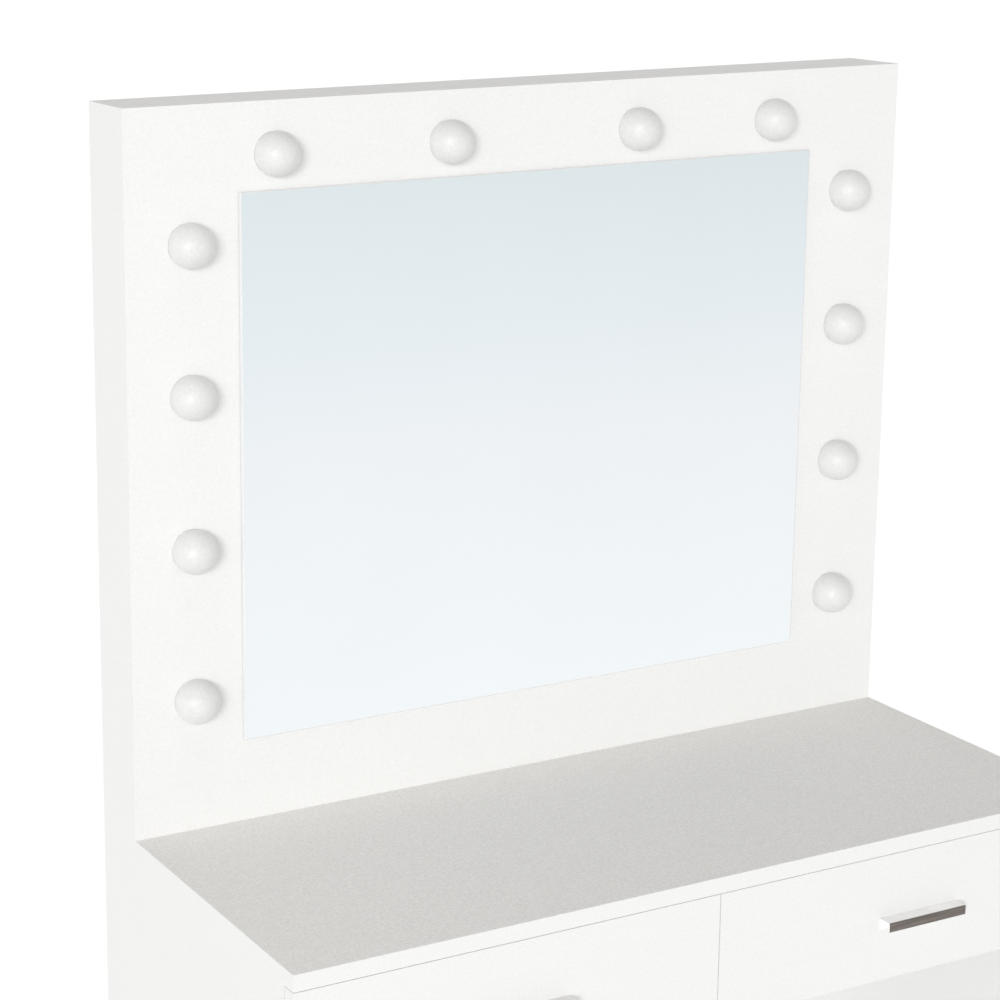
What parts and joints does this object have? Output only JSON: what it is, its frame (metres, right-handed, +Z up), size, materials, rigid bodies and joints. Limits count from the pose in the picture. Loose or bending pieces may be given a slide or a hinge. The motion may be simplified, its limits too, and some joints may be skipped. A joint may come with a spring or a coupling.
{
  "type": "vanity table",
  "caption": "Vanity table with two side-by-side drawers on ball-bearing runners and a mirror box standing on its rear edge, ringed by globe bulbs on its front panel.",
  "frame": {"origin": "centre of the whole object's outer box, on the floor", "axes": "+Z up, -Y towards the sitter (the drawers open that way), +X to the sitter's right"},
  "size_m": [1, 0.475, 1.549],
  "materials": {
    "white_board": "white melamine board, fine satin texture",
    "drawer_board": "white melamine board",
    "hardboard": "white-lacquered hardboard",
    "handle_metal": "brushed, dark bronze-grey front",
    "runner_steel": "zinc plated",
    "fastener_steel": "zinc plated",
    "soft_plastic": "soft translucent",
    "dowel_wood": "raw beech",
    "mirror": "silvered glass, polished edge",
    "foam": "foam tape",
    "opal_glass": "opal, satin gloss",
    "cap_metal": "nickel plated",
    "socket_plastic": "moulded",
    "flex_rubber": "matt sheath",
    "foot_plastic": "moulded"
  },
  "bodies": {
    "table": {"table_top": "white_board", "left_side_panel": "white_board", "right_side_panel": "white_board", "centre_divider": "white_board", "rear_board": "white_board", "lighted_panel": "white_board", "mirror_box_left_side": "white_board", "mirror_box_right_side": "white_board", "mirror_box_roof": "white_board", "mirror_box_floor": "white_board", "mirror_box_backing": "hardboard", "cabinet_rails": "runner_steel", "wood_screws": "fastener_steel", "cam_fittings": "fastener_steel", "mirror_box_bolts": "fastener_steel", "dowels": "dowel_wood", "mirror_glass": "mirror", "mirror_pads": "foam", "left_bulb_1": "opal_glass", "left_bulb_2": "opal_glass", "left_bulb_3": "opal_glass", "left_bulb_4": "opal_glass", "right_bulb_1": "opal_glass", "right_bulb_2": "opal_glass", "right_bulb_3": "opal_glass", "right_bulb_4": "opal_glass", "top_bulb_1": "opal_glass", "top_bulb_2": "opal_glass", "top_bulb_3": "opal_glass", "top_bulb_4": "opal_glass", "bulb_caps": "cap_metal", "lampholders": "socket_plastic", "terminal_box": "socket_plastic", "lamp_flex": "flex_rubber", "cord_gland": "flex_rubber", "feet": "foot_plastic"},
    "left_drawer": {"left_drawer_front": "white_board", "left_drawer_left_side": "drawer_board", "left_drawer_right_side": "drawer_board", "left_drawer_back": "drawer_board", "left_drawer_floor": "hardboard", "left_handle": "handle_metal", "left_drawer_fixings": "fastener_steel", "left_drawer_buffers": "soft_plastic", "left_drawer_rails": "runner_steel"},
    "left_runner_middles": {"left_middle_rails": "runner_steel"},
    "left_outer_cages": {"left_outer_ball_cages": "runner_steel"},
    "left_inner_cages": {"left_inner_ball_cages": "runner_steel"},
    "right_drawer": {"right_drawer_front": "white_board", "right_drawer_left_side": "drawer_board", "right_drawer_right_side": "drawer_board", "right_drawer_back": "drawer_board", "right_drawer_floor": "hardboard", "right_handle": "handle_metal", "right_drawer_fixings": "fastener_steel", "right_drawer_buffers": "soft_plastic", "right_drawer_rails": "runner_steel"},
    "right_runner_middles": {"right_middle_rails": "runner_steel"},
    "right_outer_cages": {"right_outer_ball_cages": "runner_steel"},
    "right_inner_cages": {"right_inner_ball_cages": "runner_steel"}
  },
  "joints": [
    {"name": "left_drawer_slide", "type": "slide", "parent": "table", "child": "left_drawer", "axis": [0, -1, 0], "range_m": [0, 0.36]},
    {"name": "left_middle_slide", "type": "slide", "parent": "table", "child": "left_runner_middles", "axis": [0, -1, 0], "range_m": [0, 0.18]},
    {"name": "left_outer_cage_roll", "type": "slide", "parent": "table", "child": "left_outer_cages", "axis": [0, -1, 0], "range_m": [0, 0.09]},
    {"name": "left_inner_cage_roll", "type": "slide", "parent": "table", "child": "left_inner_cages", "axis": [0, -1, 0], "range_m": [0, 0.27]},
    {"name": "right_drawer_slide", "type": "slide", "parent": "table", "child": "right_drawer", "axis": [0, -1, 0], "range_m": [0, 0.36]},
    {"name": "right_middle_slide", "type": "slide", "parent": "table", "child": "right_runner_middles", "axis": [0, -1, 0], "range_m": [0, 0.18]},
    {"name": "right_outer_cage_roll", "type": "slide", "parent": "table", "child": "right_outer_cages", "axis": [0, -1, 0], "range_m": [0, 0.09]},
    {"name": "right_inner_cage_roll", "type": "slide", "parent": "table", "child": "right_inner_cages", "axis": [0, -1, 0], "range_m": [0, 0.27]}
  ],
  "couplings": [
    {"joint": "left_middle_slide", "follows": "left_drawer_slide", "ratio": 0.5},
    {"joint": "left_outer_cage_roll", "follows": "left_drawer_slide", "ratio": 0.25},
    {"joint": "left_inner_cage_roll", "follows": "left_drawer_slide", "ratio": 0.75},
    {"joint": "right_middle_slide", "follows": "right_drawer_slide", "ratio": 0.5},
    {"joint": "right_outer_cage_roll", "follows": "right_drawer_slide", "ratio": 0.25},
    {"joint": "right_inner_cage_roll", "follows": "right_drawer_slide", "ratio": 0.75}
  ]
}
